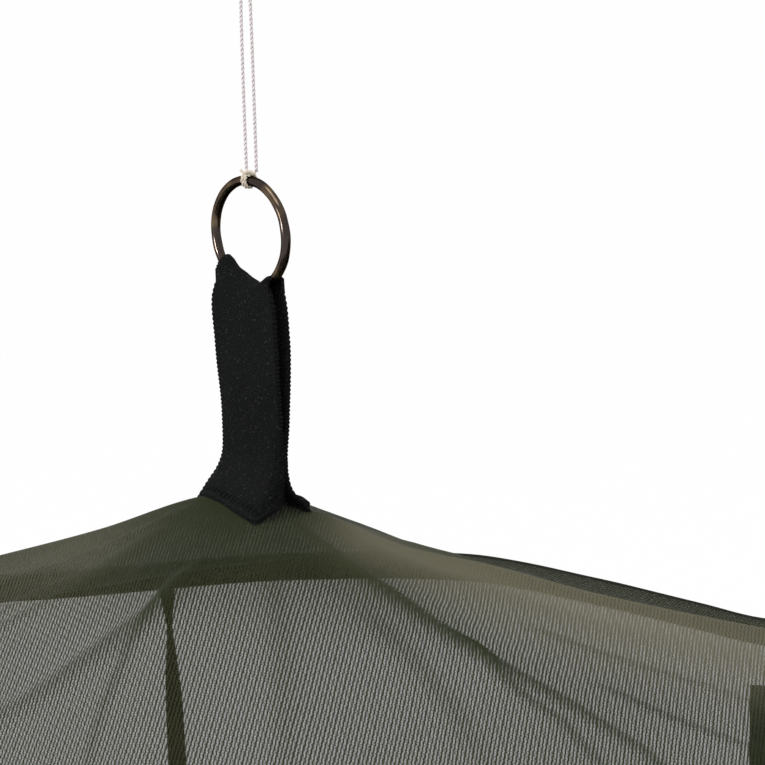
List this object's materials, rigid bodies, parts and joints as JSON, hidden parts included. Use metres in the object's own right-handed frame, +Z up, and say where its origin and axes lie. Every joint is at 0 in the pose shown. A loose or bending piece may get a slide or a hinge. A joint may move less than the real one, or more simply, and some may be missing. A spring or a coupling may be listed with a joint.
{
  "type": "camping hammock",
  "caption": "Gathered-end camping hammock with a sewn-in mosquito net, hung by end loops and by rings on the net roof.",
  "frame": {"origin": "bearing point of the head end loop, where its carabiner or a strap pulls", "axes": "+X along the hammock to the foot end, +Z up, +Y to the side with the zipped door"},
  "size_m": [2.7396, 0.7626, 1.2373],
  "materials": {
    "bed_ripstop": "olive ripstop nylon",
    "net": "fine olive warp-knitted mosquito net",
    "binding": "dark olive woven binding tape",
    "elastic_webbing": "black woven elastic with picot edges",
    "end_webbing": "black polyester webbing",
    "whipping_cord": "black cord, wound",
    "ring_metal": "antique bronze plating, polished",
    "carabiner_alloy": "dark anodised",
    "steel_pin": "plain",
    "fibreglass": "pultruded rod",
    "rubber_cap": "moulded",
    "zip_tape": "woven zip tape",
    "nylon_coil": "nylon coil",
    "slider_metal": "black enamel",
    "toggle_plastic": "moulded",
    "twine": "white twisted twine"
  },
  "bodies": {
    "root": {"bed_far_panel": "bed_ripstop", "bed_middle_panel": "bed_ripstop", "bed_near_panel": "bed_ripstop", "door_long_zip_coils": "nylon_coil", "door_long_zip_stops": "nylon_coil", "door_long_zip_tapes": "zip_tape", "door_tie_ribbons": "binding", "door_toggles": "toggle_plastic", "door_upright_zip_coils": "nylon_coil", "door_upright_zip_stops": "nylon_coil", "door_upright_zip_tapes": "zip_tape", "far_hem": "binding", "far_roof_seam": "binding", "far_tie_tapes": "binding", "far_wall_net": "net", "foot_elastic_loop": "elastic_webbing", "foot_end_loop": "end_webbing", "foot_end_net": "net", "foot_gather": "bed_ripstop", "foot_rod_caps": "rubber_cap", "foot_rod_sleeve": "binding", "foot_spreader_rod": "fibreglass", "foot_whipping": "whipping_cord", "head_elastic_loop": "elastic_webbing", "head_end_loop": "end_webbing", "head_end_net": "net", "head_gather": "bed_ripstop", "head_rod_caps": "rubber_cap", "head_rod_sleeve": "binding", "head_spreader_rod": "fibreglass", "head_whipping": "whipping_cord", "near_hem": "binding", "near_roof_seam": "binding", "near_tie_tapes": "binding", "near_wall_net": "net", "roof_net": "net"},
    "head_ring": {"head_ring": "ring_metal", "hang_twine": "twine", "twine_ring_knot": "twine", "twine_top_knot": "twine"},
    "foot_ring": {"foot_ring": "ring_metal"},
    "head_carabiner": {"head_carabiner": "carabiner_alloy", "head_gate_pin": "steel_pin"},
    "head_gate": {"head_gate": "carabiner_alloy"},
    "foot_carabiner": {"foot_carabiner": "carabiner_alloy", "foot_gate_pin": "steel_pin"},
    "foot_gate": {"foot_gate": "carabiner_alloy"},
    "door_upright_slider": {"door_upright_zip_slider": "slider_metal"},
    "door_upright_pull": {"door_upright_zip_pull": "slider_metal"},
    "door_long_slider": {"door_long_zip_slider": "slider_metal"},
    "door_long_pull": {"door_long_zip_pull": "slider_metal"}
  },
  "joints": [
    {"name": "head_ring_turn", "type": "hinge", "parent": "root", "child": "head_ring", "pos_m": [0.7, 0, 0.57], "axis": [-0.6428, -0.766, 0], "range_deg": [-60, 60]},
    {"name": "foot_ring_turn", "type": "hinge", "parent": "root", "child": "foot_ring", "pos_m": [1.9, 0, 0.57], "axis": [0.6428, -0.766, 0], "continuous": true},
    {"name": "head_carabiner_swing", "type": "hinge", "parent": "root", "child": "head_carabiner", "pos_m": [0, 0, 0], "axis": [0, 1, 0], "range_deg": [-130, 110]},
    {"name": "foot_carabiner_swing", "type": "hinge", "parent": "root", "child": "foot_carabiner", "pos_m": [2.6, 0, 0], "axis": [0, -1, 0], "range_deg": [-130, 110]},
    {"name": "head_gate_hinge", "type": "hinge", "parent": "head_carabiner", "child": "head_gate", "pos_m": [-0.01299, 0.018, 0.0075], "axis": [0.5, 0, 0.866], "range_deg": [0, 26], "stiffness_Nm_per_rad": 0.4, "springref_deg": -17.19},
    {"name": "foot_gate_hinge", "type": "hinge", "parent": "foot_carabiner", "child": "foot_gate", "pos_m": [2.61299, 0.018, 0.0075], "axis": [0.5, 0, -0.866], "range_deg": [0, 26], "stiffness_Nm_per_rad": 0.4, "springref_deg": -17.19},
    {"name": "door_upright_slide", "type": "slide", "parent": "root", "child": "door_upright_slider", "axis": [0, -0.1289, 0.9917], "range_m": [0, 0.4471]},
    {"name": "door_upright_pull_hinge", "type": "hinge", "parent": "door_upright_slider", "child": "door_upright_pull", "pos_m": [0.827, 0.36946, -0.08551], "axis": [1, 0, 0], "range_deg": [0, 170]},
    {"name": "door_long_slide", "type": "slide", "parent": "root", "child": "door_long_slider", "axis": [1, 0, 0], "range_m": [0, 0.8898]},
    {"name": "door_long_pull_hinge", "type": "hinge", "parent": "door_long_slider", "child": "door_long_pull", "pos_m": [0.8366, 0.37256, -0.10931], "axis": [0, -0.1289, 0.9917], "range_deg": [0, 130]}
  ]
}
